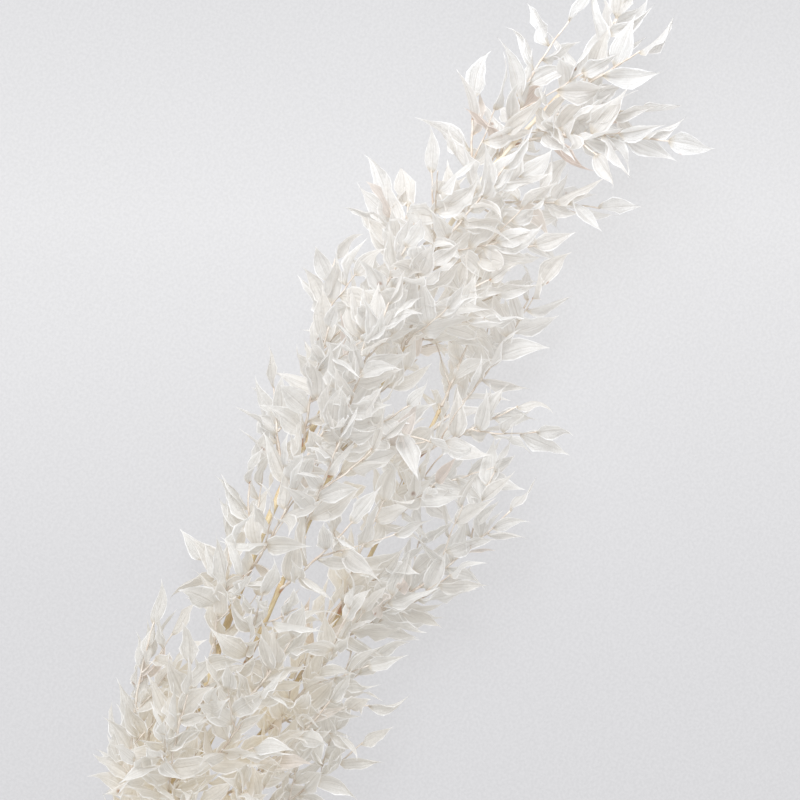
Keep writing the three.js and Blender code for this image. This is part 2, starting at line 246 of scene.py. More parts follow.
def cane_skin(cane, curve, feet, butt):
    """The bark of one cane: rings of corners square to its course. The radius tapers from
    foot to end, rises in a bell round each twig's foot, and is fluted by two sines of the
    turn whose phases drift along the cane. The end closes over its own width by a circle.
    A thin cane's foot opens by a square root, and the butt starts with the slanting cut."""
    rows = int(run_of(curve(np.linspace(0, 1, CANE_POINTS)))[-1] / CANE_ROW)
    share = np.linspace(0, 1, rows)
    centre = curve(share)
    if butt:
        straight = np.arange(-BUTT_LENGTH / 2, BUTT_LENGTH / 2, CANE_ROW)
        lead = np.stack([straight, 0 * straight, 0 * straight + BUTT_HEIGHT], axis=-1)
        centre = np.vstack([lead, centre])
        share = np.concatenate([0 * straight, share])
    centre = eased(centre, int(FORK_EASE / CANE_ROW))
    side, rise = across(unit(np.gradient(centre, axis=0)))
    run = run_of(centre)
    foot_run = np.interp(feet, share[-rows:], run[-rows:])
    bell = np.exp(-((run[:, None] - foot_run) / SWELLING_REACH) ** 2).sum(axis=1)
    radius = between(*cane.radii, share) * ROUND + SWELLING * np.minimum(bell, SWELLING_MOST)
    ending = (run[-1] - run) / (2 * cane.radii[1])
    radius *= np.sqrt(1 - (1 - np.clip(ending, 0, 1)) ** 2)
    if not butt:
        radius *= np.clip(run / FORK_GROWTH, 0, 1) ** 0.5
    turn = np.arange(CANE_SIDES) / CANE_SIDES * 2 * np.pi
    flute = np.sin(FLUTES[0] * turn + run[:, None] / FLUTE_DRIFT[0])
    flute += np.sin(FLUTES[1] * turn - run[:, None] / FLUTE_DRIFT[1] + 1) / 2
    girth = radius[:, None] * (1 + FLUTE_DEPTH * flute)
    corners = centre[:, None] + circles(side, rise, turn) * girth[..., None]
    if butt:
        corners[0, :, 0] += BUTT_SLANT * (corners[0, :, 2] - BUTT_HEIGHT) / BUTT_HEIGHT
        corners[:, :, 2] = np.maximum(corners[:, :, 2], 0)
    return skins(corners[None], run, (len(feet) / MARKS, 0)), corners[0]


def cut_skin(rim):
    """The cut face: rings that shrink from the bark's first ring to its middle, sunk towards
    the pith by a cube, with torn fibres that stand out by a sine."""
    ring = np.array(CUT_RINGS)[:, None]
    middle = rim.mean(axis=0)
    corners = middle + (rim - middle) * ring[..., None]
    torn = np.sin(np.arange(len(rim)) * CUT_TEARS) * ring * CUT_TORN
    corners[1:, :, 0] += torn[1:] + CUT_SUNK * (1 - ring[1:]) ** 3
    return skins(corners[None], CUT_RINGS, finish=1)


def linear(colour):
    """The linear RGBA value of an sRGB hex colour."""
    parts = [int(colour[place:place + 2], 16) / 255 for place in (1, 3, 5)]
    return [c / 12.92 if c <= 0.04045 else ((c + 0.055) / 1.055) ** 2.4 for c in parts] + [1]


def add(tree, kind, inputs=None, stops=(), **settings):
    """Adds a shader node with its settings and links. An input takes a value, a socket, or
    the first output of a node. stops are a colour ramp's, as (place, hex colour)."""
    made = tree.nodes.new("ShaderNode" + kind)
    for key, value in settings.items():
        setattr(made, key, value)
    for key, value in (inputs or {}).items():
        if isinstance(value, bpy.types.Node):
            value = value.outputs[0]
        if isinstance(value, bpy.types.NodeSocket):
            tree.links.new(value, made.inputs[key])
        else:
            made.inputs[key].default_value = value
    for spare in stops[2:]:
        made.color_ramp.elements.new(0.5)
    for index, (place, colour) in enumerate(stops):
        made.color_ramp.elements[index].position = place
    for index, (place, colour) in enumerate(stops):
        made.color_ramp.elements[index].color = linear(colour)
    return made


def empty_material(name):
    """An empty material, with its node tree."""
    material = bpy.data.materials.new(name)
    material.use_nodes = True
    material.node_tree.nodes.clear()
    return material, material.node_tree


def finished(material, colour, roughness, bumps, more=None):
    """Ends a material in one surface. bumps are their height, their strength and how many
    metres deep they are, and more are further inputs of the surface."""
    tree = material.node_tree
    bump = add(tree, "Bump", dict(zip(("Height", "Strength", "Distance"), bumps)))
    surface = add(tree, "BsdfPrincipled", {
        "Base Color": colour, "Roughness": roughness, "Normal": bump, **(more or {})})
    add(tree, "OutputMaterial", {"Surface": surface})
    return material


def coordinates(tree, layer):
    """The two coordinates of a layer of texture coordinates, each by itself."""
    return add(tree, "SeparateXYZ", {"Vector": add(tree, "UVMap", uv_map=layer)}).outputs


def grain(tree, wide, long):
    """Noise drawn out along the grain: the two grain coordinates scaled apart, with the
    first growth mark as the third coordinate, so that no two skins match."""
    place = add(tree, "UVMap", uv_map="grain")
    spread = add(tree, "VectorMath", {0: place, 1: (wide, long, 0)}, operation="MULTIPLY")
    apart = add(tree, "CombineXYZ", {"Z": coordinates(tree, "growth")["X"]})
    moved = add(tree, "VectorMath", {
        0: apart, 1: (1, 1, GRAIN_APART), 2: spread}, operation="MULTIPLY_ADD")
    return add(tree, "TexNoise", {
        "Vector": moved, "Scale": 1.0, "Detail": 4.0, "Roughness": 0.6})


def golden_bark():
    """Dried ruscus bark: satin and straw-gold, with fibres 0.3 to 0.9 mm apart, weathered
    stretches some 20 mm long and small corky specks 3 mm apart. From 420 mm along it is
    ever paler, up to 620."""
    material, tree = empty_material("golden_ruscus_bark")
    fibres = grain(tree, 24.0, 0.12)
    place = add(tree, "TexCoord").outputs["Object"]
    weather = add(tree, "TexNoise", {"Vector": place, "Scale": 50.0, "Detail": 3.0})
    corky = add(tree, "TexVoronoi", {"Vector": place, "Scale": 330.0})
    straw = add(tree, "ValToRGB", {"Fac": fibres}, stops=[
        (0.28, "#a58d5f"), (0.45, "#c1ab7c"), (0.6, "#d1be92"), (0.8, "#e3d8bd")])
    worn = add(tree, "ValToRGB", {"Fac": weather}, stops=[(0.38, "#c9a070"), (0.6, "#ffffff")])
    speck = add(tree, "ValToRGB", {"Fac": corky}, stops=[(0.1, "#7d5a35"), (0.18, "#ffffff")])
    upward = add(tree, "MapRange", {
        "Value": coordinates(tree, "grain")["Y"], "From Min": 420.0, "From Max": 620.0,
        "To Max": 0.75})
    colour = add(tree, "MixRGB", {"Fac": upward, "Color1": straw, "Color2": linear("#f0e4cc")})
    for share, tint in ((0.5, worn), (0.55, speck)):
        colour = add(tree, "MixRGB", {"Fac": share, "Color1": colour, "Color2": tint},
                     blend_type="MULTIPLY")
    return finished(material, colour, 0.5, (fibres, 0.5, 0.0004), {"IOR": 1.5})


def pale_cut_wood():
    """Wood cut across by shears: pale and matt, darker towards the bark, with a small brown
    pith and torn fibres 0.4 mm apart."""
    material, tree = empty_material("pale_cut_wood")
    place = add(tree, "TexCoord").outputs["Object"]
    pores = add(tree, "TexNoise", {"Vector": place, "Scale": 2600.0, "Detail": 2.0})
    rings = add(tree, "ValToRGB", {"Fac": coordinates(tree, "grain")["Y"]}, stops=[
        (0.0, "#8a6840"), (0.14, "#a88052"), (0.2, "#ead9b4"), (0.82, "#e2cb9c"),
        (0.96, "#b58c52")])
    torn = add(tree, "ValToRGB", {"Fac": pores}, stops=[(0.35, "#c7a877"), (0.6, "#ffffff")])
    colour = add(tree, "MixRGB", {"Fac": 0.5, "Color1": rings, "Color2": torn},
                 blend_type="MULTIPLY")
    return finished(material, colour, 0.8, (pores, 0.6, 0.0003))


# The bracts: dried scales, one under each twig and each leaf, and one over each scar that
# a dropped twig has left. A bract is made like a leaf, as a thin blade, only tiny.
BLADE_WIDTH = 0.42            # of the length, if it were pressed flat
BLADE_POWERS = (0.85, 1.75)   # of its width's rise from the root and fall to the tip
THICKNESS = 0.34              # at the rib
FULL_BODY = 1.2               # half the width from which the rib has its full thickness
HOOK_FROM = 0.45              # share of the length from which a tip hooks
FOLDED = (0.75, 1.1)          # of the fold at mid-length, and how much more at the ends
CURLED = 0.4                  # of the curl at the root, and 1 more at the tip
CRIMP = 0.24                  # how far a margin goes in and out, for each of its ripple
CRIMPS = 1.6                  # for each wave of the ripple
MARGINS_APART = (1.1, 1.7)    # radians by which ripple and crimp differ on the two sides
BRACT_ROWS = (0, 0.3, 0.7, 1)
BRACT_SHEET = (-1, 0, 1, 0)   # over the blade from side to side, and back underneath
BRACT_OUT = 0.35              # how far out it starts, and its lean away from the twig
BRACT_SIZES = (0.7, 1.2)      # the smallest and the largest, of their mean length
BRACT_FORM = dict(            # angles in radians, and no ripple
    bend=0.3, twist=0.01, fold=-0.5, lop=0, curl=0.01, hook=0, sway=0, ripple=0, waves=1,
    phase=0)
FOOT_BRACT = 7.5              # how long a bract at a twig's foot is
BRACT_BELOW = 2.5             # how far before the foot it starts
BRACT_SUNK = 0.8              # of the cane's radius, how far out it starts
SCAR_SIDE = (0, 30, 20)       # the way that the bract over a scar faces


def arc(length, bend, share):
    """How far ahead of and above its start an arc is at a share of its length, when it
    turns by bend in all: the sine of the turn so far, and one less its cosine, both times
    length over bend."""
    turn = bend * share
    return length * np.sin(turn) / bend, length * (1 - np.cos(turn)) / bend


def each(values):
    """A number for each blade, shaped to go with arrays over its rows and corners."""
    return np.asarray(values, float)[:, None, None]


def off_the_floor(corners):
    """Corners in rows: a row that would pass below the floor is lifted to lie on it."""
    corners[..., 2] -= np.minimum(corners[..., 2].min(axis=-1, keepdims=True), 0)
    return corners


def blade_shape(share):
    """Half the width at a share of the length: a power law that rises from the root and
    falls to a needle-fine tip, one at its widest."""
    rise, fall = BLADE_POWERS
    widest = rise / (rise + fall)
    return share**rise * (1 - share)**fall / (widest**rise * (1 - widest)**fall)


def midribs(plan, share):
    """The midribs' courses, with the directions across each blade and out of its face. A
    midrib is an arc that turns by bend and twists by twist from root to tip. It sways
    aside by half a sine and hooks by the square of the way past HOOK_FROM."""
    angle, spin = each(plan.bend) * share, each(plan.twist) * share
    ahead, above = arc(each(plan.length), each(plan.bend), share)
    hook = each(plan.length * plan.hook) * np.clip((share - HOOK_FROM) / (1 - HOOK_FROM), 0, 1) ** 2
    aside = each(plan.length * plan.sway) * np.sin(np.pi * share)
    root, forward, normal, width = (vectors[:, None, None] for vectors in (
        plan.root, plan.forward, plan.normal, np.cross(plan.forward, plan.normal)))
    bent = normal * np.cos(angle)[..., None] - forward * np.sin(angle)[..., None]
    wide = width * np.cos(spin)[..., None] + bent * np.sin(spin)[..., None]
    face = bent * np.cos(spin)[..., None] - width * np.sin(spin)[..., None]
    centre = (root + forward * ahead[..., None] + normal * above[..., None]
              + face * hook[..., None] + wide * aside[..., None])
    return centre, wide, face


def blades(plan, rows, sheet, marks, finish):
    """Thin closed blades on their midribs. Each half rises at the angle fold, more so near
    both ends, and curls on as an arc by curl. Its margin ripples up and down by one sine
    along the length, and in and out by another. The body thins to nothing towards its
    outline, and rows lie on the floor where they would pass below it."""
    share = np.array(rows, float)[None, :, None]
    place = np.array(sheet, float)
    hand, out = np.sign(place), np.abs(place)
    over = np.where(np.arange(len(sheet)) <= len(sheet) // 2, 1.0, -1.0)
    waves, phase = 2 * np.pi * each(plan.waves), each(plan.phase)
    ripple = np.sin(waves * share + phase + hand * MARGINS_APART[0])
    crimp = np.sin(waves * CRIMPS * share + phase * 2 - hand * MARGINS_APART[1])
    half = each(plan.length * BLADE_WIDTH / 2) * np.maximum(blade_shape(share), 0)
    half = half * (1 + each(plan.ripple) * CRIMP * crimp)
    fold = each(plan.fold) * (FOLDED[0] + FOLDED[1] * (2 * share - 1) ** 2)
    fold = fold + hand * each(plan.lop)
    curl = each(plan.curl) * (CURLED + share)
    reach = half * (np.sin(fold + curl * out) - np.sin(fold)) / curl * hand
    lift = half * (np.cos(fold) - np.cos(fold + curl * out)) / curl
    lift = lift + each(plan.ripple) * half * out**2 * ripple
    body = THICKNESS / 2 * np.clip(half / FULL_BODY, 0, 1) * (1 - share / 2)
    lift = lift + over * body * (1 - out)
    centre, wide, face = midribs(plan, share)
    corners = off_the_floor(centre + wide * reach[..., None] + face * lift[..., None])
    around = (np.append(place, place[0]) + 1) / 2
    return skins(corners, rows, marks, finish, around, crisp=np.flatnonzero(out != 0.5))


def bract_plans(plan, length):
    """The bract under each leaf or twig: tiny, pressed along the wood and pointing up it."""
    many = len(plan.root)
    form = {key: np.full(many, value) for key, value in BRACT_FORM.items()}
    return SimpleNamespace(
        root=plan.root + plan.out * BRACT_OUT, forward=unit(plan.course + plan.out * BRACT_OUT),
        normal=plan.out, length=length * between(*BRACT_SIZES, plan.lot), **form)


def draw(spray, leaf, attempt, use):
    """A repeatable draw from 0 to 1: the fraction left by a large multiple of a sine."""
    wave = np.sin(spray * 12.9898 + leaf * 78.233 + attempt * 37.719 + use * 9.151) * 43758.5453
    return wave - np.floor(wave)


def foot_bracts(cane, curve, feet, ends):
    """The bracts at the feet of a cane's twigs and at its scars: each starts a little
    before the foot, on the side that the twig leaves by, and clasps it."""
    course = course_of(curve, feet)
    outward = ends - curve(feet)
    outward = unit(outward - course * (outward * course).sum(axis=1, keepdims=True))
    radius = between(*cane.radii, feet)[:, None]
    root = curve(feet) - course * BRACT_BELOW + outward * radius * BRACT_SUNK
    plan = bract_plans(SimpleNamespace(
        root=root, out=outward, course=course, lot=draw(feet, 5, 0, 0)), FOOT_BRACT)
    marks = np.stack([plan.length / FOOT_BRACT, feet], axis=-1)
    return blades(plan, BRACT_ROWS, BRACT_SHEET, marks, finish=2)


def papery_bract():
    """A dried bract: thin and matt, with fine fibres. Under leaves it is pale straw and one
    in five is rust-brown, and at the twigs' feet most are."""
    material, tree = empty_material("papery_brown_bract")
    fibres = grain(tree, 8.0, 1.5)
    mark = coordinates(tree, "growth")["X"]
    brown = add(tree, "Math", {0: mark, 1: 0.78}, operation="GREATER_THAN")
    pale = add(tree, "ValToRGB", {"Fac": fibres}, stops=[
        (0.3, "#b49c7f"), (0.5, "#ccb99e"), (0.72, "#e0d3bd")])
    rusty = add(tree, "ValToRGB", {"Fac": fibres}, stops=[(0.3, "#8a5536"), (0.72, "#b98a66")])
    colour = add(tree, "MixRGB", {"Fac": brown, "Color1": pale, "Color2": rusty})
    return finished(material, colour, 0.7, (fibres, 0.4, 0.0003))


CURVES = {key: through_bends(cane.bends) for key, cane in CANES.items()}
BRACT = papery_bract()
cane_parts = []
for key, cane in CANES.items():
    curve = CURVES[key]
    grown = [(at, end) for other, at, end in SPRAYS if other == key]
    grown += [(at, curve(np.array(at)) + SCAR_SIDE) for at in cane.scars]
    feet, ends = (np.array(values, float) for values in zip(*grown))
    bark, rim = cane_skin(cane, curve, feet, butt=key == "a")
    cane_parts.append(bark)
    if key == "a":
        cane_parts.append(cut_skin(rim))
    cane_parts.append(foot_bracts(cane, curve, feet, ends))
canes = make_piece("forked_golden_cane", cane_parts, [golden_bark(), pale_cut_wood(), BRACT])
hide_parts("cane")
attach(canes, "root")

# -------------------- the leafy sprays
# A spray is a side twig with its leaves, all bleached. A leaf is a flattened side shoot:
# papery, 0.3 mm thick, broadest a third of the way up, drawn out to a fine tip, folded
# along its rib and curled as it dried. Sizes are in millimetres unless noted.
LEAF_ROWS = (0, 0.035, 0.11, 0.21, 0.33, 0.47, 0.61, 0.75, 0.88, 1)
LEAF_SHEET = (-1, -0.5, 0, 0.5, 1, 0.5, 0, -0.5)     # over the blade and back underneath
LEAF_BRACT = 2.6              # how long a bract under a leaf is
LIGHT_FALLOFF_SPAN = (0.3, 0.69)            # metres along the stem over which the painted shade and glow change, from the butt end to the crown
HEIGHTS = (0.08, 0.02)        # metres over the floor, from open leaves to buried ones
HEART_LINE = 0.015            # metres, the y that is the middle of the buried leaves
BESIDE_IT = (0.058, 0.03)     # metres from it, from open leaves to buried ones


def leaf_places(tree):
    """Where a point of a leaf is: along from root to tip, outward from rib to margin, on the
    stem in metres, how far towards the crown from 0 to 1 with x, which sets the painted shade
    and glow, and deep as far as it is both low and near the plume's middle."""
    blade = coordinates(tree, "grain")
    across_it = add(tree, "Math", {0: blade["X"], 1: 2.0, 2: -1.0}, operation="MULTIPLY_ADD")
    outward = add(tree, "Math", {0: across_it}, operation="ABSOLUTE")
    stem = add(tree, "TexCoord").outputs["Object"]
    at = add(tree, "SeparateXYZ", {"Vector": stem}).outputs
    # how far towards the crown: the painted shade and glow change with it
    crownward = add(tree, "MapRange", {"Value": at["X"], "From Min": LIGHT_FALLOFF_SPAN[0], "From Max": LIGHT_FALLOFF_SPAN[1]})
    low = add(tree, "MapRange", {"Value": at["Z"], "From Min": HEIGHTS[0], "From Max": HEIGHTS[1]})
    off = add(tree, "Math", {0: at["Y"], 1: HEART_LINE}, operation="SUBTRACT")
    beside = add(tree, "Math", {0: off}, operation="ABSOLUTE")
    deep = add(tree, "MapRange", {
        "Value": beside, "From Min": BESIDE_IT[0], "From Max": BESIDE_IT[1], "To Max": low})
    return SimpleNamespace(along=blade["Y"], outward=outward, stem=stem, crownward=crownward, deep=deep)


def leaf_white(tree, place, veins, dents):
    """The leaf's colour: a white that the second growth mark makes creamier, times a grey that
    deepens away from the crown, which is painted shade for the light falling off towards the
    butt, and tints for silky veins, dents, a creamy foot, a darker rib with white margins
    that are a painted highlight, and rare stains. A stain is tan, some 4 mm across, and in
    one of five cells of 16 mm."""
    colour = add(tree, "ValToRGB", {"Fac": coordinates(tree, "growth")["Y"]}, stops=[
        (0.0, "#fefefe"), (0.5, "#fefefe"), (0.8, "#fdfcfb"), (0.965, "#fcfaf7"), (1.0, "#f6eae3")])
    # greyer the further a leaf is from the crown: painted shade for the light falling off towards the
    # butt
    painted_falloff_shade = add(tree, "ValToRGB", {"Fac": place.crownward}, stops=[(0.5, "#ebeae8"), (1.0, "#ffffff")])
    silk = add(tree, "ValToRGB", {"Fac": veins}, stops=[
        (0.4, "#ebeae8"), (0.5, "#fafaf9"), (0.55, "#ffffff")])
    dented = add(tree, "ValToRGB", {"Fac": dents}, stops=[(0.34, "#fbfaf9"), (0.56, "#ffffff")])
    foot = add(tree, "ValToRGB", {"Fac": place.along}, stops=[
        (0.0, "#ead6b4"), (0.05, "#f6eddd"), (0.14, "#ffffff")])
    # a little darker along the rib, and white along the margins: a painted highlight
    rib = add(tree, "ValToRGB", {"Fac": place.outward}, stops=[
        (0.0, "#e2dfda"), (0.07, "#f5f4f2"), (0.85, "#f3f2f0"), (0.93, "#ffffff")])
    cells = add(tree, "TexVoronoi", {"Vector": place.stem, "Scale": 62.0})
    number = add(tree, "SeparateColor", {"Color": cells.outputs["Color"]})
    rare = add(tree, "Math", {0: number, 1: 0.8}, operation="GREATER_THAN")
    stain = add(tree, "ValToRGB", {"Fac": cells}, stops=[(0.05, "#b48358"), (0.13, "#ffffff")])
    for share, tint in ((1.0, painted_falloff_shade), (0.9, silk), (0.6, dented), (0.8, foot), (1.0, rib),
                        (rare, stain)):
        colour = add(tree, "MixRGB", {"Fac": share, "Color1": colour, "Color2": tint},
                     blend_type="MULTIPLY")
    return colour


def painted_leaf_light(tree, place, veins, dents):
    """The colour of the leaf's emission, which is painted light. It changes along the stem and
    is weakest in the crown, which the lamp lights most. It is grey where a leaf lies open and
    warmer where it is buried, for the light passed on between leaves, and turns to near-white
    painted highlights along the curled margins, most of all where dents are shallow, at the
    tip, and on the ridges of veins."""
    # painted light passed on between leaves, for open and for buried leaves, weaker towards the crown
    open_leaf_light = add(tree, "ValToRGB", {"Fac": place.crownward}, stops=[
        (0.0, "#b5b0a5"), (0.2, "#b8b6b2"), (0.41, "#c4c2bf"), (0.73, "#b8b4b0"), (1.0, "#7d7a76")])
    buried_leaf_light = add(tree, "ValToRGB", {"Fac": place.crownward}, stops=[
        (0.0, "#e0cba3"), (0.36, "#e1d4bd"), (0.55, "#ddd8cf"), (0.73, "#cbc3b6"), (1.0, "#8c8479")])
    # near-white painted highlight
    margin = add(tree, "ValToRGB", {"Fac": place.crownward}, stops=[(0.5, "#f8f8f8"), (1.0, "#d0d0d0")])
    passed_on_light = add(tree, "MixRGB", {"Fac": place.deep, "Color1": open_leaf_light, "Color2": buried_leaf_light})
    # where the painted highlights fall: along the margins in patches, at the tip and on vein ridges
    edge = add(tree, "MapRange", {"Value": place.outward, "From Min": 0.85, "From Max": 0.95})
    patchy = add(tree, "MapRange", {
        "Value": dents, "From Min": 0.38, "From Max": 0.56, "To Min": 0.2})
    margin_highlight = add(tree, "Math", {0: edge, 1: patchy}, operation="MULTIPLY")
    tip = add(tree, "MapRange", {"Value": place.along, "From Min": 0.8, "From Max": 0.97})
    vein_glint = add(tree, "MapRange", {
        "Value": veins, "From Min": 0.58, "From Max": 0.7, "To Max": 0.2})
    highlight = add(tree, "Math", {0: margin_highlight, 1: tip}, operation="MAXIMUM")
    strongest_highlight = add(tree, "Math", {0: highlight, 1: vein_glint}, operation="MAXIMUM")
    return add(tree, "MixRGB", {"Fac": strongest_highlight, "Color1": passed_on_light, "Color2": margin})


def bleached_leaf():
    """Bleached ruscus leaf: paper-thin, silky white, translucent, and crumpled into dents
    some 5 mm across. Its parallel veins are 0.4 mm apart, coarser than real ones so that
    they show, and flatter near the tip. A weak emission is painted light: it stands for the
    light that leaf after leaf passes on, and paints highlights along the margins, at the tips
    and on the vein ridges."""
    material, tree = empty_material("bleached_ruscus_leaf")
    place = leaf_places(tree)
    veins = grain(tree, 21.0, 0.9)
    dents = add(tree, "TexNoise", {"Vector": place.stem, "Scale": 190.0, "Detail": 3.0})
    flatter = add(tree, "MapRange", {
        "Value": place.along, "From Min": 0.4, "From Max": 0.92, "To Min": 0.9, "To Max": 0.05})
    crumple = add(tree, "Bump", {"Height": dents, "Strength": 0.55, "Distance": 0.004})
    bump = add(tree, "Bump", {
        "Height": veins, "Strength": flatter, "Distance": 0.0012, "Normal": crumple})
    colour = leaf_white(tree, place, veins, dents)
    paper = add(tree, "BsdfPrincipled", {
        "Base Color": colour, "Roughness": 0.48, "IOR": 1.45, "Sheen Weight": 0.2,
        "Sheen Roughness": 0.4, "Normal": bump,
        # emission: painted light passed on between leaves, and painted highlights
        "Emission Color": painted_leaf_light(tree, place, veins, dents), "Emission Strength": 0.9})
    lit_through = add(tree, "BsdfTranslucent", {"Color": colour, "Normal": bump})
    leaf = add(tree, "MixShader", {"Fac": 0.7, 1: paper, 2: lit_through})
    add(tree, "OutputMaterial", {"Surface": leaf})
    return material


# The twigs: each leaves its cane at a slant and bends towards its end. Short side shoots
# on it fill the stem's middle.
TWIG_SPREAD = 0.8             # sideways against forward, as a twig leaves its cane
TWIG_REACH = 0.42             # share of the way to its end that it keeps that course
TWIG_RADII = (0.95, 0.5)
TWIG_SIDES = 6
TWIG_ROW = 1.5                # between one ring of corners and the next
KNOT = 0.38                   # of the radius, the swelling at a leaf
FLARE_REACH = 2.2             # over which it flares where it leaves the wood
WEAVE = 0.22                  # how far it weaves to either side
WEAVE_FROM = 9                # how far from its foot it weaves in full
BARE_FOOT = 12                # without leaves
LEAF_PITCH = 9.2              # between one leaf and the next along a twig
LEAF_LENGTH = (36, 28)        # at the foot and at the end of a twig
SHOOT_EVERY = 28              # of a twig's length
CROWN = 600                   # twigs that start beyond this x are the crown's
CROWN_EVERY = 60              # of such a twig's length, between one shoot and the next
SHOOT_AT = 0.7                # of a step, where the first shoot starts
SHOOT_INDEX = 100             # of the first shoot in draws, past all sprays
SHOOTS_MOST = 7               # of one twig
SHOOT_LENGTH = (30, 56)
SHOOT_SPREAD = (0.5, 1.0)     # sideways against forward, at its end
SHOOT_REACH = 0.4             # as TWIG_REACH
SHOOT_LOWEST = 2              # over the floor, of its end
SHOOT_PITCH = 10.0
SHOOT_BARE = 8
SHOOT_LEAF = (36, 29)
SHOOT_RADII = (0.6, 0.34)
HEART = np.array([0, 0, 44])  # the middle of the plume, whatever its x
HEARTWARDS = (0.5, 1.5)       # how a shoot heads for it: always, and more at the edge
PLUME_WIDTH = 80              # from its middle
END_SUNK = 2                  # how far inside the twig's end its last leaf starts


def pulled(foot, pull, finish):
    """A curve from foot to finish, drawn towards the point pull by t(1 - t), and the length
    of the way from foot to pull to finish."""
    def curve(share):
        t = np.asarray(share, float)[..., None]
        return foot * (1 - t) ** 2 + pull * 2 * t * (1 - t) + finish * t**2
    return curve, np.linalg.norm(pull - foot) + np.linalg.norm(finish - pull)


def twig_of(index, key, at, end):
    """A spray's twig: its course on leaving is the cane's, spread by TWIG_SPREAD towards
    its end, and it keeps that course for TWIG_REACH of the way."""
    foot, finish = CURVES[key](np.array(at)), np.array(end, float)
    course = course_of(CURVES[key], at)
    outward = finish - foot
    outward = unit(outward - course * outward.dot(course))
    first = unit(course + outward * (TWIG_SPREAD if at < 1 else 0))
    pull = foot + first * np.linalg.norm(finish - foot) * TWIG_REACH
    curve, length = pulled(foot, pull, finish)
    count = int(np.floor((length - BARE_FOOT) / LEAF_PITCH + 0.5))
    return SimpleNamespace(index=index, curve=curve, length=length, count=count, bare=BARE_FOOT,
                           pitch=LEAF_PITCH, leaf=LEAF_LENGTH, radii=TWIG_RADII)


def shoot_of(twig, number, count):
    """A short side shoot: it leaves its twig at a slant, and the further out it starts, the
    more it heads for the middle of the plume, by a square."""
    index = SHOOT_INDEX + twig.index * SHOOTS_MOST + number
    share = np.array((number + SHOOT_AT) / (count + 1))
    foot, course = twig.curve(share), course_of(twig.curve, share)
    side, rise = across(course)
    turn = 2 * np.pi * draw(index, 0, 0, 1)
    inward = HEART - foot * (0, 1, 1)
    far = np.linalg.norm(inward) / PLUME_WIDTH
    out = side * np.cos(turn) + rise * np.sin(turn)
    out = out + unit(inward) * (HEARTWARDS[0] + HEARTWARDS[1] * far**2)
    out = unit(out - course * out.dot(course))
    length = between(*SHOOT_LENGTH, draw(index, 0, 0, 2))
    spread = between(*SHOOT_SPREAD, draw(index, 0, 0, 3))
    finish = foot + unit(course + out * spread) * length
    finish[2] = max(finish[2], SHOOT_LOWEST)
    curve, length = pulled(foot, foot + unit(course + out) * length * SHOOT_REACH, finish)
    leaves = max(2, int((length - SHOOT_BARE) / SHOOT_PITCH + 1.5))
    return SimpleNamespace(index=index, curve=curve, length=length, count=leaves, bare=SHOOT_BARE,
                           pitch=(length - SHOOT_BARE - END_SUNK) / (leaves - 1), leaf=SHOOT_LEAF,
                           radii=SHOOT_RADII)


def twig_skin(twig):
    """The bark of a twig: a rod that tapers, flares by a falling exponential where it leaves
    the wood, swells at each leaf by the eighth power of a cosine, and weaves from side to
    side between leaves by a sine."""
    share = np.append(np.arange(0, twig.length, TWIG_ROW) / twig.length, 1)
    run = share * twig.length
    side, rise = across(course_of(twig.curve, share))
    phase = np.pi * ((run - twig.bare) / twig.pitch)
    knot = np.cos(phase) ** 8 * (run > twig.bare / 2)
    radius = between(*twig.radii, share) * (1 + KNOT * knot)
    radius += twig.radii[0] * np.exp(-run / FLARE_REACH)
    radius[[0, -1]] = 0
    weave = side * (WEAVE * np.sin(phase) * np.clip(run / WEAVE_FROM, 0, 1))[:, None]
    turn = np.arange(TWIG_SIDES) / TWIG_SIDES * 2 * np.pi
    corners = (twig.curve(share) + weave)[:, None] + circles(side, rise, turn) * radius[:, None, None]
    return skins(off_the_floor(corners)[None], run, (twig.index / MARKS, 0), finish=1)


def pale_twig_bark():
    """Bark of a bleached twig: matt, pale straw, with fibres 0.3 to 0.9 mm apart and tan
    stretches some 8 mm long."""
    material, tree = empty_material("pale_twig_bark")
    fibres = grain(tree, 7.0, 0.35)
    place = add(tree, "TexCoord").outputs["Object"]
    weather = add(tree, "TexNoise", {"Vector": place, "Scale": 120.0, "Detail": 3.0})
    pale = add(tree, "ValToRGB", {"Fac": fibres}, stops=[
        (0.3, "#bdad99"), (0.5, "#cdc1b1"), (0.75, "#e0d7cb")])
    worn = add(tree, "ValToRGB", {"Fac": weather}, stops=[(0.36, "#c4a384"), (0.55, "#ffffff")])
    colour = add(tree, "MixRGB", {"Fac": 0.45, "Color1": pale, "Color2": worn},
                 blend_type="MULTIPLY")
    return finished(material, colour, 0.6, (fibres, 0.4, 0.0003))


# The leaves in place: they stand by turns left and right and lean forward. The plain
# solid's leaves keep their places, and more grow between them and on the shoots.
LEAN = (58, 32)               # degrees off the twig, at its foot and at its end
LAST_LEAN = 8                 # degrees, of the leaf at the twig's end
TWIG_TILT = (-40, 40)         # degrees that all leaves of a twig are tilted round it
NOT_FLAT = 0.5                # degrees that keep an arc from being quite straight
HABIT = {                     # what a leaf draws: each draw's use number and its range
    # degrees
    "lean": (1, -14, 14), "tilt": (2, -75, 75), "turn": (3, -60, 60), "bend": (5, -45, 60),
    "twist": (6, -85, 85), "fold": (7, 5, 42), "lop": (8, -12, 12), "curl": (10, -55, 95),
    # a share of the mean length, two of its own length, and one of half its width
    "size": (4, 0.86, 1.12), "hook": (11, -0.22, 0.26), "sway": (17, -0.07, 0.07),
    "ripple": (12, 0.1, 0.44),
    # waves along its margin, where they start in radians, and two marks
    "waves": (13, 1.0, 2.4), "phase": (14, 0, 2 * math.pi), "warm": (15, 0, 1),
    "lot": (16, 0, 1)}
TRIES = 14                    # placings that a leaf may have taken
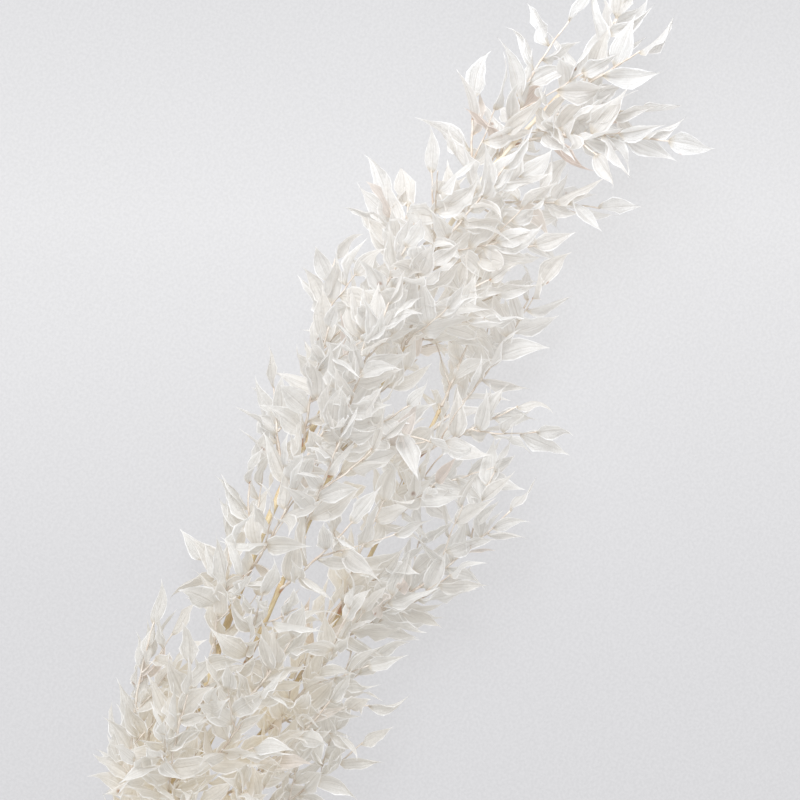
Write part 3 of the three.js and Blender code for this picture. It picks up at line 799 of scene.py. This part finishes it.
SAME_PLACE = 0.02             # between a leaf's tip and the solid's
ADDED = 50.0                  # the attempt of an added leaf, past the plain solid's tries
BETWEEN_LEAVES = 0.4          # share of the places between two leaves that hold one more
YOUNG = (480, 640)            # where the leaves begin to lengthen and where they stop
DRAWN_OUT = (1.03, 1.18)      # a leaf's length with its fine tip, below and above that
OPEN = np.array([             # places that no added leaf covers, and how far they reach
    # over the canes
    (187, 26, 6), (339, 43, 8), (362, 44, 7), (385, 44, 6), (438, 43, 8),
    (320, 18, 6), (368, 19, 7), (407, 20, 7), (295, -21, 8), (380, -26, 10),
    # over the floor
    (354, 0, 14), (332, -8, 8), (486, -34, 6), (466, -36, 6), (448, -36, 6), (552, -64, 16),
    (528, -66, 12), (502, -5, 10), (733, -31, 8), (657, 35, 9), (613, 49, 9), (617, -64, 12)], float)


def leaf_plans(twig, number, attempt):
    """How leaves sit on a twig: alternate ones left and right, leaning forward more towards
    its end, each tilted round the twig, turned about itself, bent and twisted by draws."""
    drawn = SimpleNamespace(**{
        key: between(low, high, draw(twig.index, number, attempt, use))
        for key, (use, low, high) in HABIT.items()})
    last = number == twig.count - 1
    share = (twig.bare + number * twig.pitch) / twig.length
    share = np.where(last, 1 - END_SUNK / twig.length, share)
    course = course_of(twig.curve, share)
    side, rise = across(course)
    hand = np.where(np.floor(number) % 2 == 1, -1.0, 1.0)
    lean = np.radians(np.where(last, LAST_LEAN, between(*LEAN, share) + drawn.lean))
    tilt = np.radians(drawn.tilt + between(*TWIG_TILT, draw(twig.index, 0, 0, 9)))

    def blend(one, other, angle):
        return one * np.cos(angle)[..., None] + other * np.sin(angle)[..., None]

    out = blend(side * hand[..., None], rise, tilt)
    face = blend(rise, side * -hand[..., None], tilt)
    forward = blend(course, out, lean)
    return SimpleNamespace(
        root=twig.curve(share), forward=forward, course=course, out=out,
        normal=blend(face, np.cross(forward, face), np.radians(drawn.turn)),
        length=between(*twig.leaf, share * share) * drawn.size,
        bend=np.radians(drawn.bend + NOT_FLAT), twist=np.radians(drawn.twist),
        fold=np.radians(drawn.fold), lop=np.radians(drawn.lop),
        curl=np.radians(drawn.curl + NOT_FLAT), hook=drawn.hook, sway=drawn.sway,
        ripple=drawn.ripple, waves=drawn.waves, phase=drawn.phase,
        warm=drawn.warm, lot=drawn.lot)


def tips(plan):
    """Where the midribs end, no lower than the floor."""
    ahead, above = arc(plan.length, plan.bend, 1)
    ends = plan.root + plan.forward * ahead[..., None] + plan.normal * above[..., None]
    ends[..., 2] = np.maximum(ends[..., 2], 0)
    return ends


def clear_of_openings(plan):
    """Which leaves leave the open places free: from above, the straight line from a leaf's
    root to its tip passes each of them further off than it reaches."""
    root = plan.root[:, None, :2]
    chord = tips(plan)[:, None, :2] - root
    away = OPEN[:, :2] - root
    share = np.clip((away * chord).sum(axis=-1) / (chord**2).sum(axis=-1), 0, 1)
    gap = np.linalg.norm(away - chord * share[..., None], axis=-1)
    return (gap > OPEN[:, 2]).all(axis=1)


def chosen(plan, keep):
    """The plans picked by an index or a mask over their arrays."""
    return SimpleNamespace(**{key: value[keep] for key, value in vars(plan).items()})


def leaves_as_placed(twig, node):
    """The leaves that the plain solid has: of each leaf's placings the first whose tip is a
    corner of the node. A leaf with no such placing isn't there."""
    corners = np.empty(len(node.data.vertices) * 3, np.float32)
    node.data.vertices.foreach_get("co", corners)
    corners = corners.reshape(-1, 3) / MM
    number, attempt = np.meshgrid(np.arange(twig.count), np.arange(TRIES), indexing="ij")
    plan = leaf_plans(twig, number, attempt)
    gap = np.linalg.norm(tips(plan)[:, :, None] - corners, axis=-1).min(axis=-1)
    found = gap < SAME_PLACE
    rows = np.flatnonzero(found.any(axis=1))
    return chosen(plan, (rows, found.argmax(axis=1)[rows]))


SPRAY_FINISHES = [bleached_leaf(), pale_twig_bark(), BRACT]
for spray, (key, at, end) in enumerate(SPRAYS):
    name = f"spray_{spray + 1:02d}"
    twig = twig_of(spray, key, at, end)
    crown = twig.curve(np.array(0.0))[0] > CROWN
    shoots = int(twig.length / (CROWN_EVERY if crown else SHOOT_EVERY))
    growth = [twig] + [shoot_of(twig, number, shoots) for number in range(shoots)]
    halfway = np.arange(twig.count - 1) + 0.5
    more = draw(spray, halfway, 0, 20) < (0 if crown else BETWEEN_LEAVES)
    added = [leaf_plans(twig, halfway[more], ADDED)]
    added += [leaf_plans(shoot, np.arange(shoot.count), ADDED) for shoot in growth[1:]]
    placed = [leaves_as_placed(twig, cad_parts[name])]
    placed += [chosen(plan, clear_of_openings(plan)) for plan in added]
    parts = [twig_skin(member) for member in growth]
    for plan in placed:
        up = np.clip((plan.root[:, 0] - YOUNG[0]) / (YOUNG[1] - YOUNG[0]), 0, 1)
        plan.length = plan.length * between(*DRAWN_OUT, up)
        marks = np.stack([plan.lot, plan.warm], axis=-1)
        parts.append(blades(plan, LEAF_ROWS, LEAF_SHEET, marks, finish=0))
        parts.append(blades(bract_plans(plan, LEAF_BRACT), BRACT_ROWS, BRACT_SHEET, marks, finish=2))
    piece = make_piece(f"leafy_{name}", parts, SPRAY_FINISHES)
    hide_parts(name)
    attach(piece, "root")

# -------------------- floor, light and camera
# A floor with a faint tooth, one soft light beyond the crown's side and an even surround.
# The floor's pale cool-grey look is painted light: it glows weakly, so that shadows on it stay
# faint, a little more across a band beyond the plume's middle. The camera looks straight down
# on the plume. Sizes are in metres.
FLOOR_SIZE = 40.0
FLOOR_BELOW = 0.0002          # how far under the stem it lies
PLUME = (0.4698, 0.0012)      # the place on the floor under the camera
PLUME_HEIGHT = 0.05           # of its middle, at which the light is aimed
CAMERA_HEIGHT = 1.4944
CAMERA_TURN = -64             # degrees
LENS = 100                    # millimetres
UP_THE_FLOOR = (0.899, 0.438, 0)  # the way from the near edge of the floor to the far one
BAND = (0.15, 0.7)            # how far that way the floor's painted glow changes


def pale_painted_floor():
    """A painted floor: matt and dark grey, with a tooth of about 2 mm. Its cool pale look is its
    own weak glow, painted light that keeps shadows faint, with the tooth painted into it as
    faint shade. The glow is a little stronger across a wide band beyond the plume's middle,
    painted light for the lamp's falloff."""
    material, tree = empty_material("pale_painted_floor")
    place = add(tree, "TexCoord").outputs["Object"]
    tooth = add(tree, "TexNoise", {"Vector": place, "Scale": 520.0, "Detail": 4.0})
    drift = add(tree, "TexNoise", {"Vector": place, "Scale": 3.0, "Detail": 2.0})
    # the floor's own colour is a dark grey; its pale look comes from the painted glow
    colour = add(tree, "ValToRGB", {"Fac": drift}, stops=[(0.3, "#3e3e3f"), (0.7, "#444445")])
    # the tooth painted into the glow as faint shade
    painted_tooth_shade = add(tree, "ValToRGB", {"Fac": tooth}, stops=[(0.36, "#f4f4f4"), (0.64, "#ffffff")])
    upward = add(tree, "VectorMath", {0: place, 1: UP_THE_FLOOR}, operation="DOT_PRODUCT")
    near = add(tree, "MapRange", {
        "Value": upward.outputs["Value"], "From Min": BAND[0], "From Max": BAND[1]})
    # painted light: the glow is brighter across a band beyond the plume's middle and dimmer towards
    # the near edge, for the lamp's falloff
    lit = add(tree, "ValToRGB", {"Fac": near}, stops=[
        (0.0, "#d3d2d4"), (0.27, "#d6d5d7"), (0.72, "#e6e5e6"), (1.0, "#d6d5d6")])
    glow = add(tree, "MixRGB", {"Fac": 1.0, "Color1": lit, "Color2": painted_tooth_shade},
               blend_type="MULTIPLY")
    return finished(material, colour, 0.9, (tooth, 0.5, 0.0004),
                    {"Emission Color": glow, "Emission Strength": 0.83})


half = FLOOR_SIZE / 2
square = [(-half, -half), (half, -half), (half, half), (-half, half)]
floor_mesh = bpy.data.meshes.new("floor")
floor_mesh.from_pydata([(x + PLUME[0], y, -FLOOR_BELOW) for x, y in square], [], [(0, 1, 2, 3)])
floor_mesh.materials.append(pale_painted_floor())
shown("floor", floor_mesh)

window = bpy.data.lights.new("window", "AREA")
window.size = 0.6
window.energy = 24.0
window.color = linear("#f2f7ff")[:3]
lamp = shown("window", window)
lamp.location = (1.1, 0.5, 1.0)
aim = Vector((*PLUME, PLUME_HEIGHT)) - lamp.location
lamp.rotation_euler = aim.to_track_quat("-Z", "Y").to_euler()

world = bpy.data.worlds.new("even_surround")
world.use_nodes = True
surround = world.node_tree.nodes["Background"].inputs
surround["Color"].default_value = linear("#f8faff")
surround["Strength"].default_value = 1.02
scene = bpy.context.scene
scene.world = world
scene.view_settings.view_transform = "Standard"
scene.view_settings.gamma = 1.4

lens = bpy.data.cameras.new("camera")
lens.lens = LENS
camera = shown("camera", lens)
camera.location = (*PLUME, CAMERA_HEIGHT)
camera.rotation_euler = (0, 0, math.radians(CAMERA_TURN))
scene.camera = camera
